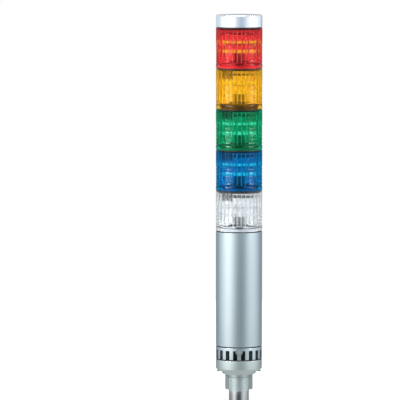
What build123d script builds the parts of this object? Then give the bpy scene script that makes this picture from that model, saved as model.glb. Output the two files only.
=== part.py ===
# A slim stack light: five twist-lock lamp tiers on a tubular body, with a sounder ring, a base cup and a pole
# adapter. Millimetres, +Z up. The front faces -Y. The origin is the middle of the pole's lower end.
import os
from math import asin, cos, degrees, radians

from build123d import *

os.makedirs("parts", exist_ok=True)

# Clearances
slip_gap = 0.1  # round faces that are pushed together and stay
turn_gap = 0.3  # faces that turn past each other
shaft_gap = 0.05  # a shaft in its own bearing

# Column
outer_radius = 20.0
line_height = 1.0  # each black line between two shells
line_recess = 0.4
tier_colours = ["clear", "blue", "green", "amber", "red"]

# Pole
pole_radius = 8.65
pole_wall = 1.4
pole_length = 23.3
pole_end_chamfer = 0.3

# Hub, the pole adapter
hub_barrel_height = 15.0
hub_barrel_step = 0.35  # wider than the pole it sits on
hub_spigot_length = 12.0
hub_neck_wall = 1.6
hub_flange_height = 2.9
hub_flange_taper = 1.0
hub_flange_gap = 0.3  # between the flange and the pegs' heads
hub_thread_share = 0.32  # of the column's radius
hub_thread_end = 1.5  # past the nut
hub_ring_count = 5
hub_ring_pitch = 2.2
hub_ring_depth = 0.25
hub_key_reach = 11.9
hub_key_width = 5.0
hub_key_rise = 1.2
hub_key_round = 1.2
nut_height = 4.5
nut_wall = 1.5
grommet_flange_reach = 1.2
grommet_flange_height = 1.2
grommet_plug_length = 5.0
grommet_wall = 1.8

# Base cup
cup_height = 9.6
cup_wall = 3.0
cup_floor = 3.0
cup_chamfer = 1.7
peg_inset = 2.8
peg_head_radius = 1.6
peg_head_height = 1.2
peg_stem_radius = 0.9
peg_stem_length = 2.2
screw_radius = 1.25
screw_head_radius = 2.1
screw_head_height = 1.6
screw_bite = 2.2
boss_radius = 2.5
screw_share = 0.66  # of the column's radius, from the axis to each screw

# Sounder ring
ring_height = 10.2
ring_wall = 2.0
slot_count = 18
slot_width = 3.7
slot_margin = 2.3  # of the ring above the slots
ledge_reach = 1.5
ledge_height = 0.8
board_thickness = 1.2
dial_radius = 2.3
dial_thickness = 1.4
dial_setback = 0.5  # from the ring's outer face
dial_mark_width = 0.5
dial_mark_depth = 0.3
dial_shaft_radius = 0.9
dial_boss_wall = 0.5
trimmer_width = 6.0
trimmer_length = 4.0
trimmer_gap = 0.5
trimmer_bore_depth = 2.6
sounder_gap = 1.5  # to the ledge
sounder_lift = 0.4  # above the ring's lower face
sounder_notch_gap = 0.5  # round the bosses and the trimmer
sounder_port_depth = 1.5

# Body
tube_wall = 1.6
tube_height = 98.6
plug_height = 4.0
wire_hole_share = 0.25  # of the column's radius
rod_inset = 3.6
rod_radius = 1.2
rod_bite = 2.8
guide_width = 3.2
guide_depth = 4.0
guide_height = 8.0
main_board_side_gap = 3.4
main_board_top_gap = 10.6
main_board_thickness = 1.6
main_board_back = 5.8  # its front face, ahead of the axis
capacitor_radius = 5.0
capacitor_length = 9.0
capacitor_rise = 26.0
capacitor_pitch = 14.0
capacitor_count = 2
chip_size = 7.0
chip_thickness = 1.4
chip_drop = 14.0
chip_pitch = 12.0
chip_count = 3
terminal_side_gap = 5.0
terminal_front_gap = 4.6
terminal_height = 9.0
terminal_rise = 12.0
terminal_way_count = 6
terminal_way_radius = 0.9
terminal_way_depth = 4.0
tier_plug_side_gap = 4.0
tier_plug_depth = 6.0
tier_plug_height = 8.0
riser_pin_radius = 0.4
riser_pin_count = 6

# Tiers
lens_height = 34.1
lens_bore_depth = 1.4
rib_count = 32
rib_depth = 0.8
band_count = 6
band_pitch = 3.1
band_depth = 0.35
band_start = 2.4
skirt_height = 5.2
lens_skirt_wall = 3.3
spigot_height = 4.6
spigot_wall = 1.2
base_skirt_height = 5.0  # of the lock ring in the body tube
tier_skirt_height = 1.2  # of those in the lenses
lock_wall = 3.7
lug_count = 4
lug_width = 6.2
lug_height = 1.5
lug_rise = 2.7
lug_reach = 1.2
twist_angle = 15.0
disc_thickness = 1.0
disc_gap = 0.1
socket_pin_angles = [-118.0, -134.0, -150.0, -166.0]
socket_pin_radius = 0.6
socket_pin_length = 9.0
pin_inset = 0.8
carrier_plate_height = 1.2
carrier_sides = 16
carrier_gap = 0.2  # between the column's corners and the socket pins
carrier_wall = 1.4
carrier_headroom = 5.4  # from the column's top to the lens's top
led_upper_share = 0.72  # of the column's height
led_lower_share = 0.36
led_width = 4.0
led_height = 2.8
led_thickness = 0.8
spring_angles = [-104.0, -90.0, -76.0]
spring_radius = 0.5
spring_gap = 0.5  # below the lower lamps
spring_notch_half_angle = 28.0

# Cap
cap_height = 10.5
cap_top_thickness = 2.0
cap_round = 1.3

# Levels, from the pole up
hub_bottom = pole_length
flange_bottom = hub_bottom + hub_barrel_height
cup_bottom = flange_bottom + hub_flange_height
cup_top = cup_bottom + cup_height
ring_bottom = cup_top + line_height
ring_top = ring_bottom + ring_height
tube_bottom = ring_top + line_height
tube_top = tube_bottom + tube_height
tier_pitch = line_height + lens_height
tier_levels = [tube_top + tier_pitch * tier for tier in range(len(tier_colours))]
cap_level = tube_top + tier_pitch * len(tier_colours)

# Radii that follow the column's
line_radius = outer_radius - line_recess
shell_bore_radius = outer_radius - tube_wall  # of the body tube and of each lens's top
plug_radius = shell_bore_radius - slip_gap
skirt_bore_radius = outer_radius - lens_skirt_wall
spigot_radius = skirt_bore_radius - turn_gap
lug_radius = spigot_radius + lug_reach
channel_radius = lug_radius + turn_gap
rib_crest_radius = shell_bore_radius - rib_depth
lock_bore_radius = plug_radius - lock_wall
pin_circle = lock_bore_radius - pin_inset
carrier_corner_radius = pin_circle - socket_pin_radius - carrier_gap
carrier_apothem = carrier_corner_radius * cos(radians(180 / carrier_sides))
rod_reach = outer_radius - rod_inset
peg_reach = outer_radius - peg_inset
screw_reach = outer_radius * screw_share
wire_hole_radius = outer_radius * wire_hole_share
hub_thread_radius = outer_radius * hub_thread_share
hub_flange_radius = peg_reach - peg_head_radius - hub_flange_gap
hub_bore_radius = hub_thread_radius - hub_neck_wall

# Shared fits
board_top = ring_top
board_bottom = board_top - board_thickness
board_radius = outer_radius - ring_wall - 4 * slip_gap
ledge_bottom = board_bottom - ledge_height
ledge_radius = outer_radius - ring_wall - ledge_reach
dial_hole_radius = dial_radius + turn_gap
dial_boss_radius = dial_hole_radius + dial_boss_wall
dial_level = ring_top - dial_boss_radius
trimmer_front = ledge_radius - trimmer_gap
sounder_radius = ledge_radius - sounder_gap
sounder_height = board_bottom - ring_bottom - sounder_lift
carrier_height = lens_height - skirt_height - carrier_plate_height - carrier_headroom
spring_top = skirt_height + carrier_plate_height + led_lower_share * carrier_height - led_height / 2 - spring_gap
main_board_face = -main_board_back
main_board_rear = main_board_face + main_board_thickness
main_board_bottom = ring_top + line_height + plug_height
main_board_top = tube_top - main_board_top_gap
main_board_width = 2 * (shell_bore_radius - main_board_side_gap)
terminal_width = main_board_width - 2 * terminal_side_gap
terminal_depth = shell_bore_radius - main_board_back - terminal_front_gap
tier_plug_width = main_board_width - 2 * tier_plug_side_gap


def finish(piece, name):
    piece.part.label = name
    export_step(piece.part, f"parts/{name}.step")


def lug_outline():
    """The bayonet lugs of one ring: arms as wide as a lug, cut off at the lugs' reach and inside the spigot."""
    with BuildSketch() as outline:
        with PolarLocations(lug_radius / 2, lug_count):
            Rectangle(lug_radius, lug_width)
        Circle(lug_radius, mode=Mode.INTERSECT)
        Circle(spigot_radius - spigot_wall, mode=Mode.SUBTRACT)
    return outline.sketch


def sector(inner_radius, reach_radius, first_angle, last_angle):
    """A piece of a ring between two angles, for the bayonet tracks."""
    with BuildSketch() as outline:
        with BuildLine():
            outer = CenterArc((0, 0), reach_radius, first_angle, last_angle - first_angle)
            inner = CenterArc((0, 0), inner_radius, first_angle, last_angle - first_angle)
            Line(inner @ 0, outer @ 0)
            Line(inner @ 1, outer @ 1)
        make_face()
    return outline.sketch


def rib_outline():
    """The star-shaped bore whose points are the valleys between the prism ribs."""
    half_pitch = 180 / rib_count
    corners = []
    for step in range(2 * rib_count):
        reach = shell_bore_radius if step % 2 else rib_crest_radius
        corners.append(Vector(reach, 0).rotate(Axis.Z, step * half_pitch))
    with BuildSketch() as outline:
        with BuildLine():
            Polyline(*corners, close=True)
        make_face()
    return outline.sketch


def bayonet_outlines():
    """One bayonet track and the mouth where its lug drops in, with the closed lug's middle at angle 0."""
    half_angle = degrees(asin(lug_width / 2 / spigot_radius) + turn_gap / spigot_radius)
    track = sector(spigot_radius, channel_radius, -twist_angle - half_angle, half_angle)
    mouth = sector(spigot_radius, channel_radius, -twist_angle - half_angle, half_angle - twist_angle)
    return track, mouth


# Pole, a plain tube cut square
with BuildPart() as pole:
    with BuildSketch():
        Circle(pole_radius)
        Circle(pole_radius - pole_wall, mode=Mode.SUBTRACT)
    extrude(amount=pole_length)
    chamfer(pole.faces().sort_by(Axis.Z)[0].edges(), pole_end_chamfer)
finish(pole, "pole")

# Hub: spigot in the pole, ringed barrel with two side keys, tapered flange and threaded neck
spigot_in_pole = pole_radius - pole_wall - slip_gap
neck_top = cup_bottom + cup_floor + nut_height + hub_thread_end
barrel_radius = pole_radius + hub_barrel_step
barrel_margin = (hub_barrel_height - hub_ring_count * hub_ring_pitch) / 2
with BuildPart() as hub:
    with BuildSketch(Plane.XZ):
        with BuildLine():
            outline = [
                (hub_bore_radius, hub_bottom - hub_spigot_length),
                (spigot_in_pole, hub_bottom - hub_spigot_length),
                (spigot_in_pole, hub_bottom),
                (barrel_radius, hub_bottom),
            ]
            for ring in range(hub_ring_count):
                groove = hub_bottom + barrel_margin + (ring + 0.5) * hub_ring_pitch
                outline += [
                    (barrel_radius, groove - hub_ring_depth),
                    (barrel_radius - hub_ring_depth, groove),
                    (barrel_radius, groove + hub_ring_depth),
                ]
            outline += [
                (barrel_radius, flange_bottom),
                (hub_flange_radius - hub_flange_taper, flange_bottom),
                (hub_flange_radius, cup_bottom),
                (hub_thread_radius, cup_bottom),
                (hub_thread_radius, neck_top),
                (hub_bore_radius, neck_top),
            ]
            Polyline(*outline, close=True)
        make_face()
    revolve(axis=Axis.Z)
    key_length = hub_key_reach - (hub_bore_radius + spigot_in_pole) / 2
    with BuildSketch(Plane.XY.offset(hub_bottom + hub_key_rise)):
        for side in (-1, 1):
            with Locations((side * (hub_key_reach - key_length / 2), 0)):
                Rectangle(key_length, hub_key_width)
    extrude(amount=hub_barrel_height - hub_key_rise)
    fillet(hub.edges().filter_by(Axis.Y).group_by(Axis.Z)[0], hub_key_round)
finish(hub, "hub")

# Nut that holds the hub's neck in the cup
cup_floor_top = cup_bottom + cup_floor
with BuildPart() as hub_nut:
    with BuildSketch(Plane.XY.offset(cup_floor_top)):
        RegularPolygon(hub_thread_radius + slip_gap + nut_wall, 6, major_radius=False)
        Circle(hub_thread_radius + slip_gap, mode=Mode.SUBTRACT)
    extrude(amount=nut_height)
finish(hub_nut, "hub_nut")

# Grommet in the neck's mouth, where the lead goes in
with BuildPart() as cable_grommet:
    with BuildSketch(Plane.XY.offset(neck_top)):
        Circle(hub_bore_radius + grommet_flange_reach)
    extrude(amount=grommet_flange_height)
    with BuildSketch(Plane.XY.offset(neck_top)):
        Circle(hub_bore_radius - slip_gap)
    extrude(amount=-grommet_plug_length)
    with BuildSketch(Plane.XY.offset(neck_top + grommet_flange_height)):
        Circle(hub_bore_radius - slip_gap - grommet_wall)
    extrude(amount=-grommet_plug_length - grommet_flange_height, mode=Mode.SUBTRACT)
finish(cable_grommet, "cable_grommet")

# Base cup with two bosses for the case screws
counterbore_depth = screw_head_height + slip_gap
with BuildPart() as base_cup:
    with BuildSketch(Plane.XY.offset(cup_bottom)):
        Circle(outer_radius)
    extrude(amount=cup_height)
    chamfer(base_cup.faces().sort_by(Axis.Z)[0].edges(), cup_chamfer)
    with BuildSketch(Plane.XY.offset(cup_floor_top)):
        Circle(outer_radius - cup_wall)
        with Locations((-screw_reach, 0), (screw_reach, 0)):
            Circle(boss_radius, mode=Mode.SUBTRACT)
    extrude(amount=cup_height - cup_floor, mode=Mode.SUBTRACT)
    with BuildSketch(Plane.XY.offset(cup_bottom)):
        Circle(hub_thread_radius + slip_gap)
        with Locations((-screw_reach, 0), (screw_reach, 0)):
            Circle(screw_radius + slip_gap)
    extrude(amount=cup_height, mode=Mode.SUBTRACT)
    with BuildSketch(Plane.XY.offset(cup_bottom)):
        with Locations((-screw_reach, 0), (screw_reach, 0)):
            Circle(screw_head_radius + slip_gap)
    extrude(amount=counterbore_depth, mode=Mode.SUBTRACT)
    with BuildSketch(Plane.XY.offset(cup_bottom)):
        with Locations((-peg_reach, 0), (peg_reach, 0)):
            Circle(peg_stem_radius + slip_gap)
    extrude(amount=peg_stem_length + slip_gap, mode=Mode.SUBTRACT)
finish(base_cup, "base_cup")

# Two black pegs pushed into the cup's underside
with BuildPart() as locating_pegs:
    with BuildSketch(Plane.XY.offset(cup_bottom)):
        with Locations((-peg_reach, 0), (peg_reach, 0)):
            Circle(peg_head_radius)
    extrude(amount=-peg_head_height)
    with BuildSketch(Plane.XY.offset(cup_bottom)):
        with Locations((-peg_reach, 0), (peg_reach, 0)):
            Circle(peg_stem_radius)
    extrude(amount=peg_stem_length)
finish(locating_pegs, "locating_pegs")

# Two long screws that clamp cup, sounder ring and bulkhead together
screw_seat = cup_bottom + counterbore_depth
screw_tip = ring_top + screw_bite
with BuildPart() as case_screws:
    with BuildSketch(Plane.XY.offset(screw_seat)):
        with Locations((-screw_reach, 0), (screw_reach, 0)):
            Circle(screw_head_radius)
    extrude(amount=-screw_head_height)
    with BuildSketch(Plane.XY.offset(screw_seat)):
        with Locations((-screw_reach, 0), (screw_reach, 0)):
            Circle(screw_radius)
    extrude(amount=screw_tip - screw_seat)
finish(case_screws, "case_screws")

# Seal between cup and sounder ring
with BuildPart() as cup_seal:
    with BuildSketch(Plane.XY.offset(cup_top)):
        Circle(line_radius)
        Circle(outer_radius - ring_wall, mode=Mode.SUBTRACT)
    extrude(amount=line_height)
finish(cup_seal, "cup_seal")

# Sounder ring: slots open at the bottom, a ledge for the board, and a boss round the volume dial
with BuildPart() as sound_ring:
    with BuildSketch(Plane.XY.offset(ring_bottom)):
        Circle(outer_radius)
        Circle(outer_radius - ring_wall, mode=Mode.SUBTRACT)
    extrude(amount=ring_height)
    with BuildSketch(Plane.XY.offset(ledge_bottom)):
        Circle(outer_radius - ring_wall)
        Circle(ledge_radius, mode=Mode.SUBTRACT)
        with Locations((-screw_reach, 0), (screw_reach, 0)):
            Circle(boss_radius + slip_gap, mode=Mode.SUBTRACT)
    extrude(amount=ledge_height)
    with BuildSketch(Plane.XY.offset(ring_bottom)):
        with PolarLocations(0, slot_count, start_angle=-90 + 180 / slot_count):
            with Locations((outer_radius, 0)):
                Rectangle(4 * ring_wall, slot_width)
    extrude(amount=ring_height - slot_margin, mode=Mode.SUBTRACT)
    with BuildSketch(Plane.XZ.offset(outer_radius - 2 * ring_wall)):
        with Locations((0, dial_level)):
            Circle(dial_boss_radius)
    extrude(amount=2 * ring_wall)
    with BuildSketch(Plane.XY.offset(ring_bottom)):
        Circle(2 * outer_radius)
        Circle(outer_radius, mode=Mode.SUBTRACT)
    extrude(amount=ring_height, mode=Mode.SUBTRACT)
    with BuildSketch(Plane.XY.offset(ring_bottom)):
        Circle(outer_radius - ring_wall)
    extrude(amount=ledge_bottom - ring_bottom, mode=Mode.SUBTRACT)
    with BuildSketch(Plane.XY.offset(board_bottom)):
        Circle(outer_radius - ring_wall)
    extrude(amount=board_thickness, mode=Mode.SUBTRACT)
    with BuildSketch(Plane.XZ.offset(ledge_radius - ring_wall)):
        with Locations((0, dial_level)):
            Circle(dial_hole_radius)
    extrude(amount=outer_radius, mode=Mode.SUBTRACT)
finish(sound_ring, "sound_ring")

# Volume dial: a disc with an arrow cut in its face, on a shaft
dial_face = outer_radius - dial_setback
with BuildPart() as volume_dial:
    with BuildSketch(Plane.XZ.offset(dial_face)):
        with Locations((0, dial_level)):
            Circle(dial_radius)
    extrude(amount=-dial_thickness)
    with BuildSketch(Plane.XZ.offset(dial_face - dial_thickness)):
        with Locations((0, dial_level)):
            Circle(dial_shaft_radius)
    extrude(amount=-(dial_face - dial_thickness - trimmer_front + trimmer_bore_depth - turn_gap))
    with BuildSketch(Plane.XZ.offset(dial_face)):
        with BuildLine():
            Polyline((-0.5 * dial_radius, dial_level + 0.5 * dial_radius), (0, dial_level - 0.4 * dial_radius),
                     (0.5 * dial_radius, dial_level + 0.5 * dial_radius))
            offset(amount=dial_mark_width / 2, side=Side.BOTH)
        make_face()
    extrude(amount=-dial_mark_depth, mode=Mode.SUBTRACT)
finish(volume_dial, "volume_dial")

# Trimmer under the board, whose bore is the dial's bearing
with BuildPart() as volume_trimmer:
    trimmer_height = 2 * (board_bottom - dial_level)
    with BuildSketch(Plane.XZ.offset(trimmer_front)):
        with Locations((0, dial_level)):
            Rectangle(trimmer_width, trimmer_height)
    extrude(amount=-trimmer_length)
    with BuildSketch(Plane.XZ.offset(trimmer_front)):
        with Locations((0, dial_level)):
            Circle(dial_shaft_radius + shaft_gap)
    extrude(amount=-trimmer_bore_depth, mode=Mode.SUBTRACT)
finish(volume_trimmer, "volume_trimmer")

# Sounder board, on the ring's ledge
with BuildPart() as sounder_board:
    with BuildSketch(Plane.XY.offset(board_bottom)):
        Circle(board_radius)
        Circle(wire_hole_radius, mode=Mode.SUBTRACT)
        with Locations((-screw_reach, 0), (screw_reach, 0)):
            Circle(boss_radius + slip_gap, mode=Mode.SUBTRACT)
    extrude(amount=board_thickness)
finish(sounder_board, "sounder_board")

# Sounder, a closed can that fills the ring, notched for the bosses and the trimmer, with one port
with BuildPart() as sounder:
    with BuildSketch(Plane.XY.offset(board_bottom)):
        Circle(sounder_radius)
        Circle(wire_hole_radius, mode=Mode.SUBTRACT)
        with Locations((-screw_reach, 0), (screw_reach, 0)):
            Circle(boss_radius + sounder_notch_gap, mode=Mode.SUBTRACT)
        with Locations((0, -trimmer_front)):
            Rectangle(trimmer_width + 2 * sounder_notch_gap, 2 * (trimmer_length + sounder_notch_gap), mode=Mode.SUBTRACT)
    extrude(amount=-sounder_height)
    with BuildSketch(Plane.XY.offset(board_bottom - sounder_height)):
        with Locations((0, (sounder_radius + wire_hole_radius) / 2)):
            Circle((sounder_radius - wire_hole_radius) / 3)
    extrude(amount=sounder_port_depth, mode=Mode.SUBTRACT)
finish(sounder, "sounder")

# Bulkhead that plugs the tube's lower end; its flange is the black line above the sounder ring
boss_drop = ring_top - cup_top
with BuildPart() as lower_bulkhead:
    with BuildSketch(Plane.XY.offset(ring_top)):
        Circle(line_radius)
    extrude(amount=line_height)
    with BuildSketch(Plane.XY.offset(ring_top + line_height)):
        Circle(plug_radius)
    extrude(amount=plug_height)
    with BuildSketch(Plane.XY.offset(ring_top)):
        with Locations((-screw_reach, 0), (screw_reach, 0)):
            Circle(boss_radius)
    extrude(amount=-boss_drop)
    with BuildSketch(Plane.XY.offset(cup_top)):
        with Locations((-screw_reach, 0), (screw_reach, 0)):
            Circle(screw_radius + slip_gap)
    extrude(amount=boss_drop + screw_bite + slip_gap, mode=Mode.SUBTRACT)
    with BuildSketch(Plane.XY.offset(ring_top)):
        Circle(wire_hole_radius)
    extrude(amount=line_height + plug_height, mode=Mode.SUBTRACT)
    with BuildSketch(Plane.XY.offset(main_board_bottom)):
        with Locations((0, -rod_reach), (0, rod_reach)):
            Circle(rod_radius + slip_gap)
    extrude(amount=-rod_bite - slip_gap, mode=Mode.SUBTRACT)
    with BuildSketch(Plane.XY.offset(main_board_bottom)):
        with Locations((-main_board_width / 2, main_board_face + main_board_thickness / 2),
                       (main_board_width / 2, main_board_face + main_board_thickness / 2)):
            Rectangle(guide_width, guide_depth)
        with Locations((0, main_board_face + main_board_thickness / 2)):
            Rectangle(main_board_width + 2 * slip_gap, main_board_thickness + 2 * slip_gap, mode=Mode.SUBTRACT)
    extrude(amount=guide_height)
finish(lower_bulkhead, "lower_bulkhead")

# Body tube
with BuildPart() as body_tube:
    with BuildSketch(Plane.XY.offset(tube_bottom)):
        Circle(outer_radius)
        Circle(shell_bore_radius, mode=Mode.SUBTRACT)
    extrude(amount=tube_height)
finish(body_tube, "body_tube")

# Rods that pull the tube between the bulkhead and the first lock ring
with BuildPart() as tie_rods:
    with BuildSketch(Plane.XY.offset(main_board_bottom - rod_bite)):
        with Locations((0, -rod_reach), (0, rod_reach)):
            Circle(rod_radius)
    extrude(amount=tube_top - base_skirt_height + rod_bite - main_board_bottom + rod_bite)
finish(tie_rods, "tie_rods")

# Main board, standing in the bulkhead's guides, with its parts
with BuildPart() as main_board:
    with BuildSketch(Plane.XY.offset(main_board_bottom)):
        with Locations((0, main_board_face + main_board_thickness / 2)):
            Rectangle(main_board_width, main_board_thickness)
    extrude(amount=main_board_top - main_board_bottom)
finish(main_board, "main_board")

with BuildPart() as board_capacitors:
    with BuildSketch(Plane.XZ.offset(-main_board_rear)):
        for place in range(capacitor_count):
            with Locations((0, main_board_bottom + capacitor_rise + place * capacitor_pitch)):
                Circle(capacitor_radius)
    extrude(amount=-capacitor_length)
finish(board_capacitors, "board_capacitors")

with BuildPart() as board_chips:
    with BuildSketch(Plane.XZ.offset(main_board_back)):
        for place in range(chip_count):
            with Locations((0, main_board_top - chip_drop - place * chip_pitch)):
                Rectangle(chip_size, chip_size)
    extrude(amount=chip_thickness)
finish(board_chips, "board_chips")

with BuildPart() as terminal_block:
    with BuildSketch(Plane.XY.offset(main_board_bottom + terminal_rise)):
        with Locations((0, main_board_face - terminal_depth / 2)):
            Rectangle(terminal_width, terminal_depth)
    extrude(amount=terminal_height)
    with BuildSketch(Plane.XY.offset(main_board_bottom + terminal_rise)):
        with Locations((0, main_board_face - terminal_depth / 2)):
            with GridLocations(terminal_width / terminal_way_count, 0, terminal_way_count, 1):
                Circle(terminal_way_radius)
    extrude(amount=terminal_way_depth, mode=Mode.SUBTRACT)
finish(terminal_block, "terminal_block")

with BuildPart() as tier_plug:
    with BuildSketch(Plane.XY.offset(main_board_top)):
        with Locations((0, main_board_rear + tier_plug_depth / 2)):
            Rectangle(tier_plug_width, tier_plug_depth)
    extrude(amount=-tier_plug_height)
finish(tier_plug, "tier_plug")

with BuildPart() as riser_pins:
    with BuildSketch(Plane.XY.offset(main_board_top)):
        with Locations((0, main_board_rear + tier_plug_depth / 2)):
            with GridLocations(tier_plug_width / riser_pin_count, 0, riser_pin_count, 1):
                Circle(riser_pin_radius)
    extrude(amount=tube_top + line_height - main_board_top)
finish(riser_pins, "riser_pins")


def make_lock_ring(level, name, skirt_drop, rod_holes):
    """Black ring fixed in the shell below: skirt, flange, spigot and four bayonet lugs."""
    lugs = lug_outline()
    with BuildPart() as ring:
        with BuildSketch(Plane.XY.offset(level - skirt_drop)):
            Circle(plug_radius)
        extrude(amount=skirt_drop)
        with BuildSketch(Plane.XY.offset(level)):
            Circle(line_radius)
        extrude(amount=line_height)
        with BuildSketch(Plane.XY.offset(level + line_height)):
            Circle(spigot_radius)
        extrude(amount=spigot_height)
        with BuildSketch(Plane.XY.offset(level + line_height + lug_rise)):
            add(lugs)
        extrude(amount=lug_height)
        with BuildSketch(Plane.XY.offset(level - skirt_drop)):
            Circle(lock_bore_radius)
        extrude(amount=skirt_drop + line_height, mode=Mode.SUBTRACT)
        with BuildSketch(Plane.XY.offset(level + line_height)):
            Circle(spigot_radius - spigot_wall)
        extrude(amount=spigot_height, mode=Mode.SUBTRACT)
        if rod_holes:
            with BuildSketch(Plane.XY.offset(level - skirt_drop)):
                with Locations((0, -rod_reach), (0, rod_reach)):
                    Circle(rod_radius + slip_gap)
            extrude(amount=rod_bite + slip_gap, mode=Mode.SUBTRACT)
    finish(ring, name)


def make_contacts(level, colour):
    """Contact disc on the lock ring's inner ledge, and the pins that hang from it into the shell below."""
    disc_bottom = level + line_height
    with BuildPart() as disc:
        with BuildSketch(Plane.XY.offset(disc_bottom)):
            Circle(spigot_radius - spigot_wall - disc_gap)
        extrude(amount=disc_thickness)
    finish(disc, f"contact_disc_{colour}")
    with BuildPart() as pins:
        with BuildSketch(Plane.XY.offset(disc_bottom)):
            for angle in socket_pin_angles:
                with PolarLocations(pin_circle, 1, start_angle=angle):
                    Circle(socket_pin_radius)
        extrude(amount=-socket_pin_length)
    finish(pins, f"socket_pins_{colour}")


def make_lens(level, colour):
    """Lens: banded outside, prism ribs inside, a bayonet skirt below and a bore for the next ring above."""
    bottom = level + line_height
    top = bottom + lens_height
    track, mouth = bayonet_outlines()
    ribs = rib_outline()
    with BuildPart() as lens:
        with BuildSketch(Plane.XZ):
            with BuildLine():
                outline = [(0, bottom), (outer_radius, bottom), (outer_radius, bottom + band_start)]
                for band in range(band_count):
                    foot = bottom + band_start + band * band_pitch
                    outline += [
                        (outer_radius - band_depth, foot + band_pitch / 2),
                        (outer_radius, foot + band_pitch),
                    ]
                outline += [(outer_radius, top), (0, top)]
                Polyline(*outline, close=True)
            make_face()
        revolve(axis=Axis.Z)
        with BuildSketch(Plane.XY.offset(bottom)):
            Circle(skirt_bore_radius)
        extrude(amount=skirt_height, mode=Mode.SUBTRACT)
        with BuildSketch(Plane.XY.offset(bottom + skirt_height)):
            add(ribs)
        extrude(amount=lens_height - skirt_height - lens_bore_depth, mode=Mode.SUBTRACT)
        with BuildSketch(Plane.XY.offset(top)):
            Circle(shell_bore_radius)
        extrude(amount=-lens_bore_depth, mode=Mode.SUBTRACT)
        with BuildSketch(Plane.XY.offset(bottom + lug_rise - turn_gap)):
            with PolarLocations(0, lug_count):
                add(track)
        extrude(amount=lug_height + 2 * turn_gap, mode=Mode.SUBTRACT)
        with BuildSketch(Plane.XY.offset(bottom)):
            with PolarLocations(0, lug_count):
                add(mouth)
        extrude(amount=lug_rise + lug_height, mode=Mode.SUBTRACT)
    finish(lens, f"lens_{colour}")


def make_lamp(level, colour):
    """What lights a tier: a moulded column on a base plate, its lamps, and the springs that feed it."""
    bottom = level + line_height
    plate_bottom = bottom + skirt_height
    plate_top = plate_bottom + carrier_plate_height
    spring_notch = sector(pin_circle - spring_radius - slip_gap, outer_radius, -90 - spring_notch_half_angle,
                          -90 + spring_notch_half_angle)
    with BuildPart() as carrier:
        with BuildSketch(Plane.XY.offset(plate_bottom)):
            Circle(rib_crest_radius - turn_gap)
            add(spring_notch, mode=Mode.SUBTRACT)
        extrude(amount=carrier_plate_height)
        with BuildSketch(Plane.XY.offset(plate_top)):
            RegularPolygon(carrier_apothem, carrier_sides, major_radius=False, rotation=180 / carrier_sides)
            RegularPolygon(carrier_apothem - carrier_wall, carrier_sides, major_radius=False,
                           rotation=180 / carrier_sides, mode=Mode.SUBTRACT)
        extrude(amount=carrier_height)
    finish(carrier, f"led_carrier_{colour}")
    with BuildPart() as leds:
        for share in (led_upper_share, led_lower_share):
            with BuildSketch(Plane.XY.offset(plate_top + share * carrier_height - led_height / 2)):
                with PolarLocations(carrier_apothem + led_thickness / 2, carrier_sides, start_angle=-90):
                    Rectangle(led_thickness, led_width)
            extrude(amount=led_height)
    finish(leds, f"leds_{colour}")
    with BuildPart() as springs:
        with BuildSketch(Plane.XY.offset(bottom + disc_thickness)):
            for angle in spring_angles:
                with PolarLocations(pin_circle, 1, start_angle=angle):
                    Circle(spring_radius)
        extrude(amount=spring_top - disc_thickness)
    finish(springs, f"spring_contacts_{colour}")


for colour, level in zip(tier_colours, tier_levels):
    on_tube = colour == tier_colours[0]
    make_lock_ring(level, f"lock_ring_{colour}", base_skirt_height if on_tube else tier_skirt_height, on_tube)
    make_contacts(level, colour)
    make_lens(level, colour)
    make_lamp(level, colour)

# Cap on its own lock ring
make_lock_ring(cap_level, "lock_ring_cap", tier_skirt_height, False)
cap_bottom = cap_level + line_height
track, mouth = bayonet_outlines()
with BuildPart() as head_cap:
    with BuildSketch(Plane.XY.offset(cap_bottom)):
        Circle(outer_radius)
    extrude(amount=cap_height)
    fillet(head_cap.faces().sort_by(Axis.Z)[-1].edges(), cap_round)
    with BuildSketch(Plane.XY.offset(cap_bottom)):
        Circle(skirt_bore_radius)
    extrude(amount=cap_height - cap_top_thickness, mode=Mode.SUBTRACT)
    with BuildSketch(Plane.XY.offset(cap_bottom + lug_rise - turn_gap)):
        with PolarLocations(0, lug_count):
            add(track)
    extrude(amount=lug_height + 2 * turn_gap, mode=Mode.SUBTRACT)
    with BuildSketch(Plane.XY.offset(cap_bottom)):
        with PolarLocations(0, lug_count):
            add(mouth)
    extrude(amount=lug_rise + lug_height, mode=Mode.SUBTRACT)
finish(head_cap, "head_cap")
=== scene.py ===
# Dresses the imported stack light: turned shells, prism lenses, finishes, studio and camera.
# Metres throughout, +Z up, the front faces -Y. Sizes in the dictionaries are in millimetres.
import math

import bmesh
import bpy
from mathutils import Matrix, Vector


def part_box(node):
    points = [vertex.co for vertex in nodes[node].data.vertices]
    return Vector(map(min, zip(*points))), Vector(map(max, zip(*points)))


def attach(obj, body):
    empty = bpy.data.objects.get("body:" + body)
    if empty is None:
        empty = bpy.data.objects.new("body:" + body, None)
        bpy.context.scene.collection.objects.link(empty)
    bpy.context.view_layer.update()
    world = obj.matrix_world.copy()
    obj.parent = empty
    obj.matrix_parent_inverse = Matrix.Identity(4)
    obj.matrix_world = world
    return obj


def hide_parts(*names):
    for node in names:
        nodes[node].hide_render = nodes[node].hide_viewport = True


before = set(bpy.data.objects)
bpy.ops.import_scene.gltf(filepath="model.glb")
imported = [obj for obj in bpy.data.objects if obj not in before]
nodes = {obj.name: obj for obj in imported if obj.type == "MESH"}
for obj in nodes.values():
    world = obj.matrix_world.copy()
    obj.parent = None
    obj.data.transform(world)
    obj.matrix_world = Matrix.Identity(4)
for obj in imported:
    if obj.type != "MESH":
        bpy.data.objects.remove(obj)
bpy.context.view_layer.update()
mm = 0.001
weldGap = 2e-6
tiers = ["clear", "blue", "green", "amber", "red"]
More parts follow.
